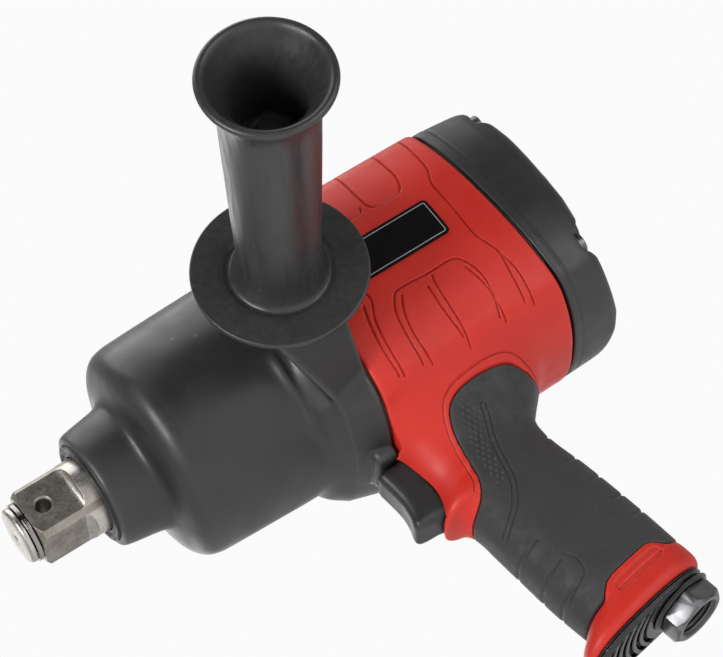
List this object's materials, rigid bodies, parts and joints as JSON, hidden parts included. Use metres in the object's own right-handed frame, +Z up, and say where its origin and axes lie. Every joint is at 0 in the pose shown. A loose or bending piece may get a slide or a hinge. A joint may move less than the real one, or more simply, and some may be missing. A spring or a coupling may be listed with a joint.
{
  "type": "impact wrench",
  "caption": "Air impact wrench with a one inch square drive, pistol grip with trigger, side handle, red motor housing and black hammer case, and its working parts inside.",
  "frame": {"origin": "centre of the anvil's flat tip face", "axes": "+X forward along the drive axis, +Y towards the side handle, +Z up, with the grip hanging down"},
  "size_m": [0.258, 0.2586, 0.2394],
  "materials": {
    "drive_steel": "bare forged steel with a brown heat tint",
    "machined_steel": "ground steel",
    "dark_steel": "blackened steel",
    "bronze": "sintered bronze",
    "case_paint": "satin black paint on a casting",
    "black_plastic": "satin black moulding",
    "red_plastic": "satin red moulding",
    "grip_rubber": "matt soft-touch rubber",
    "seal_rubber": "black seal rubber",
    "alloy": "machined alloy",
    "fibre": "pressed fibre",
    "label": "blank gloss black label"
  },
  "bodies": {
    "tool_body": {"anvil_bush": "bronze", "base_cap": "red_plastic", "base_gasket": "seal_rubber", "case_gasket": "fibre", "exhaust_deflector": "black_plastic", "exhaust_silencer": "fibre", "front_bearing": "machined_steel", "front_end_plate": "alloy", "grip_rubber": "grip_rubber", "hammer_case": "case_paint", "handle_nut": "machined_steel", "handle_stud": "machined_steel", "handle_washer": "seal_rubber", "housing_bolt_1": "dark_steel", "housing_bolt_2": "dark_steel", "housing_bolt_3": "dark_steel", "housing_bolt_4": "dark_steel", "inlet_bushing": "dark_steel", "inlet_collar": "black_plastic", "inlet_screen": "machined_steel", "label_plate": "label", "motor_cylinder": "dark_steel", "motor_housing": "red_plastic", "nose_seal": "seal_rubber", "rear_bearing": "machined_steel", "rear_cover": "black_plastic", "rear_end_plate": "alloy", "rear_gasket": "fibre", "side_handle": "black_plastic", "throttle_bushing": "bronze", "throttle_spring": "machined_steel"},
    "anvil": {"anvil": "drive_steel", "friction_ring": "dark_steel", "anvil_o_ring": "seal_rubber"},
    "drive_train": {"rotor": "machined_steel", "hammer_cage": "dark_steel", "hammer_pin_1": "machined_steel", "hammer_pin_2": "machined_steel", "rotor_vane_1": "fibre", "rotor_vane_2": "fibre", "rotor_vane_3": "fibre", "rotor_vane_4": "fibre", "rotor_vane_5": "fibre", "rotor_vane_6": "fibre"},
    "hammer_1": {"hammer_1": "machined_steel"},
    "hammer_2": {"hammer_2": "machined_steel"},
    "trigger": {"trigger": "black_plastic", "trigger_stem": "machined_steel"},
    "throttle_valve": {"throttle_valve": "bronze"},
    "reverse_dial": {"reverse_dial": "black_plastic", "reverse_valve": "alloy", "dial_screw": "dark_steel"}
  },
  "joints": [
    {"name": "anvil_spin", "type": "hinge", "parent": "tool_body", "child": "anvil", "pos_m": [-0.05, 0, 0], "axis": [1, 0, 0], "continuous": true},
    {"name": "motor_spin", "type": "hinge", "parent": "tool_body", "child": "drive_train", "pos_m": [-0.16, 0, 0], "axis": [1, 0, 0], "continuous": true},
    {"name": "hammer_1_rock", "type": "hinge", "parent": "drive_train", "child": "hammer_1", "pos_m": [-0.0863, 0, 0.027], "axis": [1, 0, 0], "range_deg": [-5, 5]},
    {"name": "hammer_2_rock", "type": "hinge", "parent": "drive_train", "child": "hammer_2", "pos_m": [-0.1067, 0, -0.027], "axis": [1, 0, 0], "range_deg": [-5, 5]},
    {"name": "trigger_pull", "type": "slide", "parent": "tool_body", "child": "trigger", "axis": [-1, 0, 0], "range_m": [0, 0.006], "stiffness_N_per_m": 1500, "springref_m": -0.006},
    {"name": "valve_lift", "type": "slide", "parent": "tool_body", "child": "throttle_valve", "axis": [-1, 0, 0], "range_m": [0, 0.006], "deforming": ["throttle_spring"]},
    {"name": "dial_turn", "type": "hinge", "parent": "tool_body", "child": "reverse_dial", "pos_m": [-0.255, 0, 0], "axis": [1, 0, 0], "range_deg": [-35, 35]}
  ],
  "couplings": [
    {"joint": "valve_lift", "follows": "trigger_pull", "ratio": 1}
  ]
}
